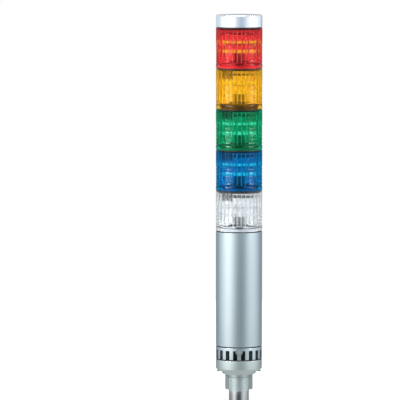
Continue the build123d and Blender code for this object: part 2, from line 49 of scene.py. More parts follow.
print("frame loaded:", len(nodes), "nodes")


def low(node):
    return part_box(node)[0]


def high(node):
    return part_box(node)[1]


# Levels and radii read from the frame
axisRadius = high("body_tube").x
tubeBottom, tubeTop = low("body_tube").z, high("body_tube").z
ringBottom, ringTop = low("sound_ring").z, high("sound_ring").z
cupBottom, cupTop = low("base_cup").z, high("base_cup").z
capBottom, capTop = low("head_cap").z, high("head_cap").z
poleTop = high("pole").z
poleRadius = high("pole").x
lensBottom = {tier: low("lens_" + tier).z for tier in tiers}
lensHeight = high("lens_red").z - low("lens_red").z
lineHeight = tubeBottom - ringTop
lineRadius = high("cup_seal").x


# Node helpers
def addNode(tree, kind, place, **settings):
    node = tree.nodes.new(kind)
    node.location = place
    for name, value in settings.items():
        setattr(node, name, value)
    return node


def wire(tree, start, end):
    tree.links.new(start, end)


def mathNode(tree, operation, place, first, second=None, third=None):
    node = addNode(tree, "ShaderNodeMath", place, operation=operation)
    for socket, value in zip(node.inputs, (first, second, third)):
        if value is None:
            continue
        if isinstance(value, (int, float)):
            socket.default_value = value
        else:
            wire(tree, value, socket)
    return node.outputs[0]


def addInput(tree, name, kind, value=None):
    socket = tree.interface.new_socket(name=name, in_out="INPUT", socket_type=kind)
    if value is not None:
        socket.default_value = value
    return socket


def makeTree(name):
    tree = bpy.data.node_groups.new(name, "GeometryNodeTree")
    tree.interface.new_socket(name="Geometry", in_out="OUTPUT", socket_type="NodeSocketGeometry")
    return tree


def closeTree(tree, geometry, finish, place):
    realize = addNode(tree, "GeometryNodeRealizeInstances", place)
    wire(tree, geometry, realize.inputs["Geometry"])
    dress = addNode(tree, "GeometryNodeSetMaterial", (place[0] + 200, place[1]))
    wire(tree, realize.outputs["Geometry"], dress.inputs["Geometry"])
    wire(tree, finish, dress.inputs["Material"])
    out = addNode(tree, "NodeGroupOutput", (place[0] + 400, place[1]))
    wire(tree, dress.outputs["Geometry"], out.inputs["Geometry"])


# A closed profile turned round the column's axis. A profile point is (radius, ribbed, level): ribbed points
# follow the prism wave, whose crests point at the axis, the first of them at angle 0. The attribute "groove"
# is 1 in the bottom of each groove between two ribs.
def makeTurnedShell():
    tree = makeTree("turnedShell")
    addInput(tree, "Profile", "NodeSocketObject")
    addInput(tree, "Steps", "NodeSocketInt", 256)
    addInput(tree, "Rib Count", "NodeSocketInt", 32)
    addInput(tree, "Rib Depth", "NodeSocketFloat", 0.0)
    addInput(tree, "Rib Fullness", "NodeSocketFloat", 1.0)
    addInput(tree, "Finish", "NodeSocketMaterial")
    given = addNode(tree, "NodeGroupInput", (-1500, 0)).outputs
    info = addNode(tree, "GeometryNodeObjectInfo", (-1300, 300))
    wire(tree, given["Profile"], info.inputs["Object"])
    size = addNode(tree, "GeometryNodeAttributeDomainSize", (-1100, 300), component="MESH")
    wire(tree, info.outputs["Geometry"], size.inputs[0])
    rows = mathNode(tree, "ADD", (-900, 300), size.outputs["Point Count"], 1)
    columns = mathNode(tree, "ADD", (-900, 100), given["Steps"], 1)
    grid = addNode(tree, "GeometryNodeMeshGrid", (-700, 300))
    wire(tree, columns, grid.inputs["Vertices X"])
    wire(tree, rows, grid.inputs["Vertices Y"])
    index = addNode(tree, "GeometryNodeInputIndex", (-1100, -100)).outputs[0]
    column = mathNode(tree, "FLOOR", (-700, -100), mathNode(tree, "DIVIDE", (-900, -100), index, rows))
    row = mathNode(tree, "MODULO", (-900, -250), index, rows)
    turn = mathNode(tree, "DIVIDE", (-500, -100), column, given["Steps"])
    angle = mathNode(tree, "MULTIPLY", (-300, -100), turn, 2 * math.pi)
    point = mathNode(tree, "MODULO", (-700, -250), row, size.outputs["Point Count"])
    sample = addNode(tree, "GeometryNodeSampleIndex", (-500, 100), data_type="FLOAT_VECTOR", domain="POINT")
    wire(tree, info.outputs["Geometry"], sample.inputs["Geometry"])
    wire(tree, addNode(tree, "GeometryNodeInputPosition", (-700, 50)).outputs[0], sample.inputs["Value"])
    wire(tree, point, sample.inputs["Index"])
    parts = addNode(tree, "ShaderNodeSeparateXYZ", (-300, 100))
    wire(tree, sample.outputs["Value"], parts.inputs[0])
    swing = mathNode(tree, "MULTIPLY_ADD", (-300, -250), turn, given["Rib Count"], 0.5)
    swing = mathNode(tree, "FRACT", (-200, -400), swing)
    swing = mathNode(tree, "MULTIPLY_ADD", (-100, -250), swing, 2, -1)
    swing = mathNode(tree, "ABSOLUTE", (0, -400), swing)
    flank = mathNode(tree, "POWER", (100, -250), swing, given["Rib Fullness"])
    wave = mathNode(tree, "SUBTRACT", (300, -250), 1, flank)
    ribbed = mathNode(tree, "MULTIPLY", (300, -100), wave, parts.outputs["Y"])
    drop = mathNode(tree, "MULTIPLY", (500, -100), ribbed, given["Rib Depth"])
    reach = mathNode(tree, "SUBTRACT", (700, 0), parts.outputs["X"], drop)
    across = mathNode(tree, "MULTIPLY", (900, 100), reach, mathNode(tree, "COSINE", (700, 150), angle))
    along = mathNode(tree, "MULTIPLY", (900, -50), reach, mathNode(tree, "SINE", (700, -150), angle))
    place = addNode(tree, "ShaderNodeCombineXYZ", (1100, 0))
    wire(tree, across, place.inputs["X"])
    wire(tree, along, place.inputs["Y"])
    wire(tree, parts.outputs["Z"], place.inputs["Z"])
    put = addNode(tree, "GeometryNodeSetPosition", (1300, 200))
    wire(tree, grid.outputs["Mesh"], put.inputs["Geometry"])
    wire(tree, place.outputs[0], put.inputs["Position"])
    mark = addNode(tree, "GeometryNodeStoreNamedAttribute", (1400, 400), data_type="FLOAT", domain="POINT")
    mark.inputs["Name"].default_value = "groove"
    wire(tree, mathNode(tree, "MULTIPLY", (1200, 400), flank, parts.outputs["Y"]), mark.inputs["Value"])
    wire(tree, put.outputs["Geometry"], mark.inputs["Geometry"])
    weld = addNode(tree, "GeometryNodeMergeByDistance", (1500, 200))
    weld.inputs["Distance"].default_value = weldGap
    wire(tree, mark.outputs["Geometry"], weld.inputs["Geometry"])
    closeTree(tree, weld.outputs["Geometry"], given["Finish"], (1700, 200))
    return tree


# Copies of a piece made at angle 0, spaced evenly round the axis
def makeRingArray():
    tree = makeTree("ringArray")
    addInput(tree, "Piece", "NodeSocketObject")
    addInput(tree, "Count", "NodeSocketInt", 4)
    addInput(tree, "First Angle", "NodeSocketFloat", 0.0)
    addInput(tree, "Finish", "NodeSocketMaterial")
    given = addNode(tree, "NodeGroupInput", (-800, 0)).outputs
    info = addNode(tree, "GeometryNodeObjectInfo", (-600, 200))
    wire(tree, given["Piece"], info.inputs["Object"])
    line = addNode(tree, "GeometryNodeMeshLine", (-600, 0))
    wire(tree, given["Count"], line.inputs["Count"])
    line.inputs["Offset"].default_value = (0, 0, 0)
    index = addNode(tree, "GeometryNodeInputIndex", (-800, -200)).outputs[0]
    step = mathNode(tree, "DIVIDE", (-600, -200), 2 * math.pi, given["Count"])
    angle = mathNode(tree, "MULTIPLY_ADD", (-400, -200), index, step, given["First Angle"])
    turn = addNode(tree, "ShaderNodeCombineXYZ", (-200, -200))
    wire(tree, angle, turn.inputs["Z"])
    spread = addNode(tree, "GeometryNodeInstanceOnPoints", (0, 100))
    wire(tree, line.outputs["Mesh"], spread.inputs["Points"])
    wire(tree, info.outputs["Geometry"], spread.inputs["Instance"])
    wire(tree, turn.outputs[0], spread.inputs["Rotation"])
    closeTree(tree, spread.outputs["Instances"], given["Finish"], (200, 100))
    return tree


turnedShell = makeTurnedShell()
ringArray = makeRingArray()


# Pieces
def newObject(name, mesh=None):
    made = bpy.data.objects.new(name, mesh or bpy.data.meshes.new(name))
    bpy.context.scene.collection.objects.link(made)
    return made


def applyStack(piece):
    bpy.context.view_layer.update()
    mesh = bpy.data.meshes.new_from_object(piece.evaluated_get(bpy.context.evaluated_depsgraph_get()))
    old = piece.data
    piece.modifiers.clear()
    piece.data = mesh
    mesh.name = piece.name
    bpy.data.meshes.remove(old)
    return piece


# Values are named as the tree's inputs are, in camelCase
def runTree(made, tree, **values):
    modifier = made.modifiers.new(tree.name, "NODES")
    modifier.node_group = tree
    for item in tree.interface.items_tree:
        key = item.name.replace(" ", "")
        key = key[0].lower() + key[1:]
        if item.in_out == "INPUT" and key in values:
            modifier[item.identifier] = values[key]
    return applyStack(made)


# Mesh primitives leave an empty slot, so a piece gets its one material anew
def coat(piece, material):
    piece.data.materials.clear()
    piece.data.materials.append(material)
    piece.data.polygons.foreach_set("material_index", [0] * len(piece.data.polygons))
    return piece


# Turns the faces outwards and shades them smooth between sharp edges
def settle(piece, sharpDegrees=30):
    form = bmesh.new()
    form.from_mesh(piece.data)
    if form.calc_volume(signed=True) < 0:
        bmesh.ops.reverse_faces(form, faces=form.faces)
    form.to_mesh(piece.data)
    form.free()
    piece.data.polygons.foreach_set("use_smooth", [True] * len(piece.data.polygons))
    piece.data.set_sharp_from_angle(angle=math.radians(sharpDegrees))
    piece.data.update()
    return piece


# Corners are (radius, level, round, ribbed) in millimetres, the last two optional
def roundedProfile(corners, segments=5):
    corners = [tuple(corner) + (0,) * (4 - len(corner)) for corner in corners]
    points = []
    for number, (radius, level, bend, ribbed) in enumerate(corners):
        here = Vector((radius, level))
        if not bend:
            points.append((radius, level, ribbed))
            continue
        before = Vector(corners[number - 1][:2]) - here
        after = Vector(corners[(number + 1) % len(corners)][:2]) - here
        start = here + before.normalized() * bend
        end = here + after.normalized() * bend
        for step in range(segments + 1):
            share = step / segments
            spot = start.lerp(here, share).lerp(here.lerp(end, share), share)
            points.append((spot.x, spot.y, ribbed))
    return points


# Ribs are (count, depth, fullness)
def turnedPiece(name, points, finish, steps=256, ribs=(0, 0.0, 1.0)):
    profile = newObject(name + "Profile")
    profile.data.from_pydata([(r * mm, ribbed, z * mm) for r, z, ribbed in points], [], [])
    piece = runTree(newObject(name), turnedShell, profile=profile, steps=steps, ribCount=ribs[0],
                    ribDepth=ribs[1] * mm, ribFullness=ribs[2], finish=finish)
    bpy.data.meshes.remove(profile.data)
    return coat(settle(piece), finish)


def carve(piece, cutter):
    modifier = piece.modifiers.new("carve", "BOOLEAN")
    modifier.operation = "DIFFERENCE"
    modifier.object = cutter
    modifier.solver = "EXACT"
    applyStack(piece)
    bpy.data.meshes.remove(cutter.data)
    return piece


# Where a point of an outline lies: on a level face, on a face towards +X, or on a face towards the front
def levelFace(u, v, depth):
    return u, v, depth


def sideFace(u, v, depth):
    return depth, u, v


def frontFace(u, v, depth):
    return u, -depth, v


# An outline in millimetres pushed from one depth to another, as a closed solid with its edges eased
def pushedOutline(name, outline, first, last, face, ease=0.0, sharpAngle=0.6):
    form = bmesh.new()
    near = [form.verts.new(Vector(face(u, v, first)) * mm) for u, v in outline]
    far = [form.verts.new(Vector(face(u, v, last)) * mm) for u, v in outline]
    form.faces.new(near)
    form.faces.new(far[::-1])
    for number in range(len(outline)):
        after = (number + 1) % len(outline)
        form.faces.new((near[number], far[number], far[after], near[after]))
    bmesh.ops.recalc_face_normals(form, faces=form.faces)
    if ease:
        rims = [rim for rim in form.edges if rim.calc_face_angle(0) > sharpAngle]
        bmesh.ops.bevel(form, geom=rims, offset=ease * mm, segments=3, affect="EDGES", profile=0.5)
    mesh = bpy.data.meshes.new(name)
    form.to_mesh(mesh)
    form.free()
    return newObject(name, mesh)


def circlePoints(radius, count, middle=(0, 0), first=0.0):
    angles = [first + 2 * math.pi * step / count for step in range(count)]
    return [(middle[0] + radius * math.cos(angle), middle[1] + radius * math.sin(angle)) for angle in angles]


# A copy of a piece, raised in its mesh
def moved(piece, name, rise):
    mesh = piece.data.copy()
    mesh.transform(Matrix.Translation((0, 0, rise)))
    return newObject(name, mesh)


# Ties a piece to its body and hides the CAD nodes that it stands for
def fitPiece(piece, body, slot, *replaced):
    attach(piece, body)
    if replaced:
        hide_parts(*replaced)
    return piece


# Materials
def newMaterial(name):
    material = bpy.data.materials.new(name)
    material.use_nodes = True
    tree = material.node_tree
    tree.nodes.clear()
    out = addNode(tree, "ShaderNodeOutputMaterial", (900, 0))
    return material, tree, out


def objectNoise(tree, scale, detail=2.0, place=(-700, 0), stretch=None):
    coords = addNode(tree, "ShaderNodeTexCoord", (place[0] - 400, place[1])).outputs["Object"]
    if stretch:
        squeeze = addNode(tree, "ShaderNodeMapping", (place[0] - 200, place[1]))
        squeeze.inputs["Scale"].default_value = stretch
        wire(tree, coords, squeeze.inputs["Vector"])
        coords = squeeze.outputs["Vector"]
    noise = addNode(tree, "ShaderNodeTexNoise", place)
    noise.inputs["Scale"].default_value = scale
    noise.inputs["Detail"].default_value = detail
    wire(tree, coords, noise.inputs["Vector"])
    return noise.outputs["Fac"]


def spreadValue(tree, value, lowest, highest):
    node = addNode(tree, "ShaderNodeMapRange", (-400, 0))
    wire(tree, value, node.inputs["Value"])
    node.inputs["To Min"].default_value = lowest
    node.inputs["To Max"].default_value = highest
    return node.outputs["Result"]


def mixColours(tree, factor, first, second):
    node = addNode(tree, "ShaderNodeMix", (-200, 200), data_type="RGBA")
    wire(tree, factor, node.inputs[0])
    node.inputs[6].default_value = (*first, 1)
    node.inputs[7].default_value = (*second, 1)
    return node.outputs[2]


# An opaque finish: two tones in soft patches, a grain in the gloss and a bump from the same grain
def surface(name, finish, bumpDepth=0.00005):
    material, tree, out = newMaterial(name)
    body = addNode(tree, "ShaderNodeBsdfPrincipled", (400, 0))
    wire(tree, body.outputs[0], out.inputs["Surface"])
    tone = objectNoise(tree, finish["mottle"], 3.0, (-700, 300), finish.get("stretch"))
    wire(tree, mixColours(tree, tone, finish["dark"], finish["light"]), body.inputs["Base Color"])
    grain = objectNoise(tree, finish["grain"], 2.0, (-700, 0), finish.get("stretch"))
    spread = spreadValue(tree, grain, finish["smooth"], finish["rough"])
    wire(tree, spread, body.inputs["Roughness"])
    bump = addNode(tree, "ShaderNodeBump", (100, -300))
    bump.inputs["Strength"].default_value = finish["bump"]
    bump.inputs["Distance"].default_value = bumpDepth
    wire(tree, grain, bump.inputs["Height"])
    wire(tree, bump.outputs["Normal"], body.inputs["Normal"])
    body.inputs["Metallic"].default_value = finish.get("metal", 0.0)
    return material


finishes = {
    "satinSilver": dict(dark=(0.53, 0.62, 0.66), light=(0.58, 0.67, 0.71), mottle=60, grain=3200, smooth=0.32,
                        rough=0.40, bump=0.10, metal=1.0),
    "castSilver": dict(dark=(0.51, 0.58, 0.58), light=(0.57, 0.64, 0.64), mottle=120, grain=2600, smooth=0.38,
                       rough=0.48, bump=0.25, metal=1.0),
    "capChrome": dict(dark=(0.80, 0.85, 0.90), light=(0.86, 0.90, 0.94), mottle=40, grain=900, smooth=0.10,
                      rough=0.16, bump=0.03, metal=0.90),
    "poleSteel": dict(dark=(0.62, 0.63, 0.64), light=(0.68, 0.69, 0.70), mottle=80, grain=1500, smooth=0.06,
                      rough=0.11, bump=0.03, metal=1.0, stretch=(1, 1, 0.05)),
    "blackMoulding": dict(dark=(0.010, 0.010, 0.011), light=(0.017, 0.017, 0.018), mottle=300, grain=4000,
                          smooth=0.38, rough=0.52, bump=0.25),
    "blackRubber": dict(dark=(0.009, 0.009, 0.010), light=(0.016, 0.016, 0.016), mottle=400, grain=2500,
                        smooth=0.60, rough=0.80, bump=0.35),
    "greyMoulding": dict(dark=(0.42, 0.44, 0.46), light=(0.50, 0.52, 0.54), mottle=200, grain=3000,
                         smooth=0.35, rough=0.50, bump=0.15),
    "whiteMoulding": dict(dark=(0.59, 0.60, 0.61), light=(0.65, 0.66, 0.67), mottle=150, grain=3000,
                          smooth=0.42, rough=0.55, bump=0.15),
    "circuitBoard": dict(dark=(0.005, 0.075, 0.035), light=(0.012, 0.12, 0.06), mottle=900, grain=2500,
                         smooth=0.30, rough=0.45, bump=0.20),
    "contactMetal": dict(dark=(0.72, 0.50, 0.20), light=(0.82, 0.60, 0.28), mottle=200, grain=2500,
                         smooth=0.18, rough=0.30, bump=0.10, metal=1.0),
    "darkSpring": dict(dark=(0.16, 0.16, 0.17), light=(0.24, 0.24, 0.25), mottle=300, grain=2500,
                       smooth=0.25, rough=0.40, bump=0.10, metal=1.0),
    "fastenerSteel": dict(dark=(0.45, 0.46, 0.48), light=(0.58, 0.59, 0.60), mottle=300, grain=2500,
                          smooth=0.22, rough=0.36, bump=0.15, metal=1.0),
    "componentPlastic": dict(dark=(0.012, 0.012, 0.013), light=(0.024, 0.024, 0.026), mottle=300, grain=3500,
                             smooth=0.40, rough=0.55, bump=0.20),
}
materials = {name: surface(name, finish) for name, finish in finishes.items()}

lensTints = {
    "clear": dict(tint=(0.86, 0.89, 0.91), haze=0.06),
    "blue": dict(tint=(0.004, 0.345, 0.60), haze=0.08),
    "green": dict(tint=(0.006, 0.49, 0.29), haze=0.08),
    "amber": dict(tint=(0.90, 0.61, 0.08), haze=0.08),
    "red": dict(tint=(0.80, 0.145, 0.155), haze=0.08),
}
lensOptics = dict(index=1.49, mottle=90, grain=1500, darkest=0.95, smooth=0.03, rough=0.06, grooveBlur=0.5,
                  glossBlur=0.13, mirrorPower=1.5, outsideGloss=0.014)


# Tinted plastic: refraction under a thin gloss, a little haze, and a plain tint for shadow rays. Light
# crosses two faces of a wall, so each face carries the root of the tint. Only the inside of a face mirrors
# fully.
def lensMaterial(name, tint, haze):
    material, tree, out = newMaterial(name)
    tone = objectNoise(tree, lensOptics["mottle"], 2.0, (-700, 300))
    darker = tuple(value * lensOptics["darkest"] for value in tint)
    whole = mixColours(tree, tone, darker, tint)
    root = addNode(tree, "ShaderNodeGamma", (-50, 400))
    wire(tree, whole, root.inputs["Color"])
    root.inputs["Gamma"].default_value = 1 / 2
    grain = objectNoise(tree, lensOptics["grain"], 2.0, (-700, 0))
    groove = addNode(tree, "ShaderNodeAttribute", (-700, -300), attribute_name="groove").outputs["Fac"]
    smooth = spreadValue(tree, grain, lensOptics["smooth"], lensOptics["rough"])
    blur = mathNode(tree, "MULTIPLY_ADD", (-100, 0), groove, lensOptics["grooveBlur"], smooth)
    bend = addNode(tree, "ShaderNodeBsdfRefraction", (100, 100))
    wire(tree, root.outputs["Color"], bend.inputs["Color"])
    wire(tree, blur, bend.inputs["Roughness"])
    bend.inputs["IOR"].default_value = lensOptics["index"]
    shine = addNode(tree, "ShaderNodeBsdfGlossy", (100, -100))
    glossBlur = mathNode(tree, "MULTIPLY_ADD", (-100, -150), groove, lensOptics["grooveBlur"],
                         lensOptics["glossBlur"])
    wire(tree, glossBlur, shine.inputs["Roughness"])
    fresnel = addNode(tree, "ShaderNodeFresnel", (-100, -300))
    fresnel.inputs["IOR"].default_value = lensOptics["index"]
    share = mathNode(tree, "POWER", (100, -300), fresnel.outputs[0], lensOptics["mirrorPower"])
    inside = addNode(tree, "ShaderNodeNewGeometry", (100, -450)).outputs["Backfacing"]
    share = mathNode(tree, "MINIMUM", (250, -450), share, inside)
    share = mathNode(tree, "MAXIMUM", (250, -300), share, lensOptics["outsideGloss"])
    glass = addNode(tree, "ShaderNodeMixShader", (300, 100))
    wire(tree, share, glass.inputs[0])
    wire(tree, bend.outputs[0], glass.inputs[1])
    wire(tree, shine.outputs[0], glass.inputs[2])
    cloudy = addNode(tree, "ShaderNodeBsdfTranslucent", (100, -500))
    wire(tree, whole, cloudy.inputs["Color"])
    blend = addNode(tree, "ShaderNodeMixShader", (450, -100))
    blend.inputs[0].default_value = haze
    wire(tree, glass.outputs[0], blend.inputs[1])
    wire(tree, cloudy.outputs[0], blend.inputs[2])
    passing = addNode(tree, "ShaderNodeBsdfTransparent", (450, -300))
    wire(tree, root.outputs["Color"], passing.inputs["Color"])
    path = addNode(tree, "ShaderNodeLightPath", (450, 300))
    choose = addNode(tree, "ShaderNodeMixShader", (650, 0))
    wire(tree, path.outputs["Is Shadow Ray"], choose.inputs[0])
    wire(tree, blend.outputs[0], choose.inputs[1])
    wire(tree, passing.outputs[0], choose.inputs[2])
    wire(tree, choose.outputs[0], out.inputs["Surface"])
    return material


for tier, values in lensTints.items():
    materials[tier + "Lens"] = lensMaterial(tier + "Lens", **values)

# Painted highlights: each tier's lamp windows glow in a colour picked so that, through its lens, the rows
# show as glints
paintedGlintColours = {
    "clear": dict(colour=(0.95, 0.95, 1.0), level=1.1),
    "blue": dict(colour=(0.9, 0.80, 0.72), level=2.3),
    "green": dict(colour=(1.0, 0.26, 0.24), level=7.0),
    "amber": dict(colour=(1.0, 0.90, 0.10), level=1.2),
    "red": dict(colour=(0.40, 1.0, 0.04), level=3.4),
}


# A lamp's window with a painted glow: it stands in for the highlights on the unlit lamps, so that its row
# shows through the lens
def paintedGlintMaterial(name, colour, level, mottle=500, dimmest=0.85):
    material, tree, out = newMaterial(name)
    shine = addNode(tree, "ShaderNodeEmission", (400, 0))
    tone = objectNoise(tree, mottle, 1.0)
    dimmer = tuple(value * dimmest for value in colour)
    wire(tree, mixColours(tree, tone, dimmer, colour), shine.inputs["Color"])
    shine.inputs["Strength"].default_value = level
    wire(tree, shine.outputs[0], out.inputs["Surface"])
    return material


for tier, values in paintedGlintColours.items():
    materials[tier + "Lamp"] = paintedGlintMaterial(tier + "Lamp", **values)
print("materials made:", len(materials))

# Metal shells. Profiles run in millimetres from the frame's own levels.
edge = dict(shell=0.25, cap=1.3, line=0.12)
bore = dict(shell=18.4, skirt=16.7, groove=17.9, grooveFrom=2.4, grooveTo=4.5)


def inMm(value):
    return value / mm


shellRadius = inMm(axisRadius)

tubeShell = turnedPiece("tubeShell", roundedProfile([
    (shellRadius, inMm(tubeBottom), edge["shell"]),
    (shellRadius, inMm(tubeTop), edge["shell"]),
    (bore["shell"], inMm(tubeTop)),
    (bore["shell"], inMm(tubeBottom))]), materials["satinSilver"])
fitPiece(tubeShell, "base", "satin_silver", "body_tube")

capSizes = dict(topWall=2.0, crownGap=0.002)  # the crown lies a hair under the CAD cap
capInner = inMm(capTop) - capSizes["topWall"]
capFoot = inMm(capBottom)
capCrown = inMm(capTop) - capSizes["crownGap"]
capShell = turnedPiece("capShell", roundedProfile([
    (shellRadius, capFoot, edge["shell"]),
    (shellRadius, capCrown, edge["cap"]),
    (0, capCrown),
    (0, capInner),
    (bore["skirt"], capInner),
    (bore["skirt"], capFoot + bore["grooveTo"]),
    (bore["groove"], capFoot + bore["grooveTo"]),
    (bore["groove"], capFoot + bore["grooveFrom"]),
    (bore["skirt"], capFoot + bore["grooveFrom"]),
    (bore["skirt"], capFoot)]), materials["capChrome"])
fitPiece(capShell, "cap", "cap_chrome", "head_cap")

ringSizes = dict(wall=2.0, slots=18, slotWidth=3.7, slotHeight=7.9, slotRound=0.7, ledge=16.5, ledgeFrom=8.2,
                 ledgeTo=9.0, slotFrom=15.5, slotTo=24.0, slotBelow=2.0, cornerSteps=5, dialLevel=58.9,
                 bossRadius=3.1, holeRadius=2.6, roundFrom=10.0, roundTo=30.0, roundSteps=48)
ringFoot = inMm(ringBottom)
ringBore = shellRadius - ringSizes["wall"]
ringShell = turnedPiece("ringShell", roundedProfile([
    (shellRadius, ringFoot, edge["shell"]),
    (shellRadius, inMm(ringTop), edge["shell"]),
    (ringBore, inMm(ringTop)),
    (ringBore, ringFoot + ringSizes["ledgeTo"]),
    (ringSizes["ledge"], ringFoot + ringSizes["ledgeTo"]),
    (ringSizes["ledge"], ringFoot + ringSizes["ledgeFrom"]),
    (ringBore, ringFoot + ringSizes["ledgeFrom"]),
    (ringBore, ringFoot)]), materials["satinSilver"])
half = ringSizes["slotWidth"] / 2
slotTop = ringFoot + ringSizes["slotHeight"]
cornerRound = ringSizes["slotRound"]
slotFoot = ringFoot - ringSizes["slotBelow"]
slotOutline = [(-half, slotFoot), (half, slotFoot)]
for side, first in ((1, 0), (-1, 90)):
    for step in range(ringSizes["cornerSteps"] + 1):
        angle = math.radians(first + 90 * step / ringSizes["cornerSteps"])
        slotOutline.append((side * (half - cornerRound) + cornerRound * math.cos(angle),
                            slotTop - cornerRound + cornerRound * math.sin(angle)))
slotCutter = pushedOutline("slotCutter", slotOutline, ringSizes["slotFrom"], ringSizes["slotTo"], sideFace)
firstSlot = math.radians(-90 + 180 / ringSizes["slots"])  # half a pitch from the front
slotCutters = runTree(newObject("slotCutters"), ringArray, piece=slotCutter, count=ringSizes["slots"],
                      firstAngle=firstSlot, finish=materials["satinSilver"])
bpy.data.meshes.remove(slotCutter.data)


# A round block through the ring's front, at the dial
def dialRound(name, radius):
    outline = circlePoints(radius, ringSizes["roundSteps"], (0, ringSizes["dialLevel"]))
    return pushedOutline(name, outline, ringSizes["roundFrom"], ringSizes["roundTo"], frontFace)


carve(slotCutters, dialRound("bossKeep", ringSizes["bossRadius"]))
carve(ringShell, slotCutters)
carve(ringShell, dialRound("dialCutter", ringSizes["holeRadius"]))
coat(settle(ringShell), materials["satinSilver"])
fitPiece(ringShell, "base", "satin_silver", "sound_ring")

cupSizes = dict(chamfer=1.7, wall=3.0, floor=3.0, neck=6.5, easeFoot=0.3, easeSide=0.5, screwReach=13.2,
                headHole=2.2, headDepth=1.7, headBelow=1.0, headSteps=32)
cupFoot = inMm(cupBottom)
cupShell = turnedPiece("cupShell", roundedProfile([
    (shellRadius - cupSizes["chamfer"], cupFoot, cupSizes["easeFoot"]),
    (shellRadius, cupFoot + cupSizes["chamfer"], cupSizes["easeSide"]),
    (shellRadius, inMm(cupTop), edge["shell"]),
    (shellRadius - cupSizes["wall"], inMm(cupTop)),
    (shellRadius - cupSizes["wall"], cupFoot + cupSizes["floor"]),
    (cupSizes["neck"], cupFoot + cupSizes["floor"]),
    (cupSizes["neck"], cupFoot)]), materials["satinSilver"])
for side in (-1, 1):
    headRound = circlePoints(cupSizes["headHole"], cupSizes["headSteps"], (side * cupSizes["screwReach"], 0))
    carve(cupShell, pushedOutline("headCutter", headRound, cupFoot - cupSizes["headBelow"],
                                  cupFoot + cupSizes["headDepth"], levelFace))
coat(settle(cupShell), materials["castSilver"])
fitPiece(cupShell, "base", "satin_silver", "base_cup")

poleSizes = dict(wall=1.4, ease=0.3)
poleShell = turnedPiece("poleShell", roundedProfile([
    (inMm(poleRadius), 0, poleSizes["ease"]),
    (inMm(poleRadius), inMm(poleTop)),
    (inMm(poleRadius) - poleSizes["wall"], inMm(poleTop)),
    (inMm(poleRadius) - poleSizes["wall"], 0, poleSizes["ease"])]), materials["poleSteel"])
fitPiece(poleShell, "base", "pole_steel", "pole")
print("metal shells made")

# Lock rings: black skirt and line, a spigot of its own, and four bayonet lugs with eased edges
lockSizes = dict(baseDrop=5.0, tierDrop=1.2, skirtRadius=18.3, skirtBore=14.6, spigotRadius=16.4,
                 spigotBore=15.2, spigotTop=5.6, spigotEase=0.3, lugs=4, lugWidth=6.2, lugFrom=3.7, lugTo=5.2,
                 lugReach=17.6, lugRoot=15.6, lugSteps=8, lugEase=0.25)
lineTop = inMm(lineHeight)


def makeCollar(name, drop):
    return turnedPiece(name, roundedProfile([
        (lockSizes["skirtRadius"], -drop),
        (lockSizes["skirtRadius"], 0),
        (inMm(lineRadius), 0, edge["line"]),
        (inMm(lineRadius), lineTop, edge["line"]),
        (lockSizes["spigotBore"], lineTop),
        (lockSizes["skirtBore"], lineTop),
        (lockSizes["skirtBore"], -drop)]), materials["blackMoulding"])


baseCollar = makeCollar("baseCollar", lockSizes["baseDrop"])
tierCollar = makeCollar("tierCollar", lockSizes["tierDrop"])
lockSpigot = turnedPiece("lockSpigot", roundedProfile([
    (lockSizes["spigotRadius"], lineTop),
    (lockSizes["spigotRadius"], lockSizes["spigotTop"], lockSizes["spigotEase"]),
    (lockSizes["spigotBore"], lockSizes["spigotTop"], lockSizes["spigotEase"]),
    (lockSizes["spigotBore"], lineTop)]), materials["greyMoulding"])
lugHalf = math.degrees(math.asin(lockSizes["lugWidth"] / 2 / lockSizes["lugReach"]))
lugOutline = []
for step in range(lockSizes["lugSteps"] + 1):
    angle = math.radians(-lugHalf + 2 * lugHalf * step / lockSizes["lugSteps"])
    lugOutline.append((lockSizes["lugReach"] * math.cos(angle), lockSizes["lugReach"] * math.sin(angle)))
lugOutline += [(lockSizes["lugRoot"], side * lockSizes["lugWidth"] / 2) for side in (1, -1)]
lugBlock = pushedOutline("lugBlock", lugOutline, lockSizes["lugFrom"], lockSizes["lugTo"], levelFace,
                         lockSizes["lugEase"])
lockLugs = settle(runTree(newObject("lockLugs"), ringArray, piece=lugBlock, count=lockSizes["lugs"],
                          firstAngle=0.0, finish=materials["blackMoulding"]))
coat(lockLugs, materials["blackMoulding"])
bpy.data.meshes.remove(lugBlock.data)
lockPlaces = [("clear", "base", tubeTop)]
for below, above in zip(tiers, tiers[1:]):
    lockPlaces.append((above, below + "_tier", lensBottom[above] - lineHeight))
lockPlaces += [("cap", "red_tier", capBottom - lineHeight)]
# Painted light and shade: the spigots are one part, white in the clear and red tiers for the light in their
# skirts, black in the amber tier for the shade in its skirt, grey elsewhere
spigotLightAndShadeTones = {"amber": "blackMoulding", "clear": "whiteMoulding", "red": "whiteMoulding"}
for name, body, level in lockPlaces:
    node = "lock_ring_" + name
    collar = baseCollar if name == "clear" else tierCollar
    fitPiece(moved(collar, "lockCollar_" + name, level), body, "black_moulding", node)
    spigot = moved(lockSpigot, "lockSpigot_" + name, level)
    coat(spigot, materials[spigotLightAndShadeTones.get(name, "greyMoulding")])
    fitPiece(spigot, body, "white_moulding", node)
    fitPiece(moved(lockLugs, "lockLugs_" + name, level), body, "black_moulding", node)
for template in (baseCollar, tierCollar, lockSpigot, lockLugs):
    bpy.data.meshes.remove(template.data)
print("lock rings made:", len(lockPlaces))

